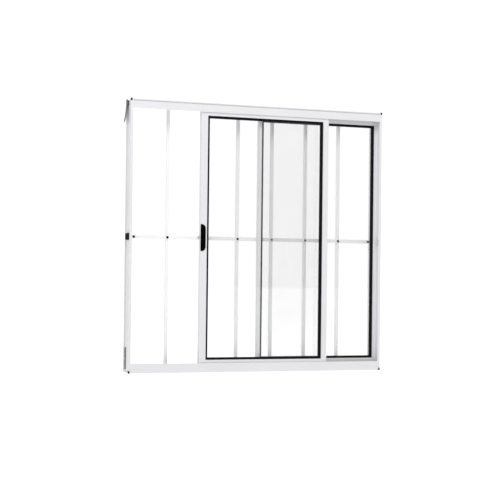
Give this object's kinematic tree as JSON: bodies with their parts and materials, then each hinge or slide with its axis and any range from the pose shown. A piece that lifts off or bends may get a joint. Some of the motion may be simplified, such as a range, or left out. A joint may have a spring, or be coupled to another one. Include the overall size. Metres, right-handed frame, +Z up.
{
  "type": "sliding window with security grille",
  "caption": "White aluminium sliding window, fixed and sliding leaves with a flush latch, and a security grille of upright tubes behind.",
  "frame": {"origin": "centre of the sill's underside", "axes": "+Z up, +Y from the room side to the grille side, +X to the right as seen from the room"},
  "size_m": [1.0105, 0.078, 1.004],
  "materials": {
    "white_powder_coat": "smooth satin powder coat on aluminium",
    "black_gasket_rubber": "matt EPDM",
    "clear_float_glass": "clear float glass",
    "galvanised_strap_steel": "dull galvanised",
    "zinc_plated_steel": "zinc plated",
    "black_moulded_nylon": "moulded, fine texture",
    "grey_nylon": "moulded",
    "grey_brush_pile": "brush pile"
  },
  "bodies": {
    "window_frame": {"anchor_strap_bottom_left": "galvanised_strap_steel", "anchor_strap_bottom_right": "galvanised_strap_steel", "anchor_strap_top_left": "galvanised_strap_steel", "anchor_strap_top_right": "galvanised_strap_steel", "corner_pads": "black_moulded_nylon", "crossbar_brackets": "white_powder_coat", "crossbar_end_caps": "black_moulded_nylon", "crossing_caps": "black_moulded_nylon", "fixed_bottom_rail": "white_powder_coat", "fixed_gasket_bottom": "black_gasket_rubber", "fixed_gasket_left": "black_gasket_rubber", "fixed_gasket_right": "black_gasket_rubber", "fixed_gasket_top": "black_gasket_rubber", "fixed_glass": "clear_float_glass", "fixed_interlock_stile": "white_powder_coat", "fixed_jamb_stile": "white_powder_coat", "fixed_leaf_blocks": "grey_nylon", "fixed_screws": "zinc_plated_steel", "fixed_top_guides": "grey_nylon", "fixed_top_rail": "white_powder_coat", "frame_brush_strips": "grey_brush_pile", "frame_screws": "zinc_plated_steel", "grille_bar_1": "white_powder_coat", "grille_bar_2": "white_powder_coat", "grille_bar_3": "white_powder_coat", "grille_bar_4": "white_powder_coat", "grille_bar_5": "white_powder_coat", "grille_bar_6": "white_powder_coat", "grille_crossbar": "white_powder_coat", "head_track": "white_powder_coat", "latch_keeper": "black_moulded_nylon", "left_jamb": "white_powder_coat", "right_jamb": "white_powder_coat", "sash_stop": "black_gasket_rubber", "sill_track": "white_powder_coat", "strap_rivets": "zinc_plated_steel"},
    "sliding_sash": {"sash_bottom_rail": "white_powder_coat", "sash_gasket_bottom": "black_gasket_rubber", "sash_gasket_left": "black_gasket_rubber", "sash_gasket_right": "black_gasket_rubber", "sash_gasket_top": "black_gasket_rubber", "sash_glass": "clear_float_glass", "sash_interlock_stile": "white_powder_coat", "sash_lock_stile": "white_powder_coat", "sash_screws": "zinc_plated_steel", "sash_top_guides": "grey_nylon", "sash_top_rail": "white_powder_coat", "handle_shell": "black_moulded_nylon", "latch_pin": "zinc_plated_steel", "roller_housings": "grey_nylon", "roller_axles": "zinc_plated_steel"},
    "roller_left": {"roller_left": "grey_nylon"},
    "roller_right": {"roller_right": "grey_nylon"},
    "latch_slider": {"latch_slider": "black_moulded_nylon"},
    "latch_hook": {"latch_hook": "zinc_plated_steel"}
  },
  "joints": [
    {"name": "sash_slide", "type": "slide", "parent": "window_frame", "child": "sliding_sash", "axis": [1, 0, 0], "range_m": [-0.262, 0.209]},
    {"name": "roller_left_spin", "type": "hinge", "parent": "sliding_sash", "child": "roller_left", "pos_m": [-0.1605, -0.0225, 0.0203], "axis": [0, 1, 0], "range_deg": [-1900, 1520]},
    {"name": "roller_right_spin", "type": "hinge", "parent": "sliding_sash", "child": "roller_right", "pos_m": [0.2075, -0.0225, 0.0203], "axis": [0, 1, 0], "range_deg": [-1900, 1520]},
    {"name": "latch_slide", "type": "slide", "parent": "sliding_sash", "child": "latch_slider", "axis": [0, 0, 1], "range_m": [-0.008, 0]},
    {"name": "hook_turn", "type": "hinge", "parent": "sliding_sash", "child": "latch_hook", "pos_m": [-0.2225, -0.0183, 0.499], "axis": [0, 1, 0], "range_deg": [-15.5, 0.5]}
  ],
  "couplings": [
    {"joint": "roller_left_spin", "follows": "sash_slide", "rad_per_m": 125},
    {"joint": "roller_right_spin", "follows": "sash_slide", "rad_per_m": 125},
    {"joint": "hook_turn", "follows": "latch_slide", "rad_per_m": 30}
  ]
}
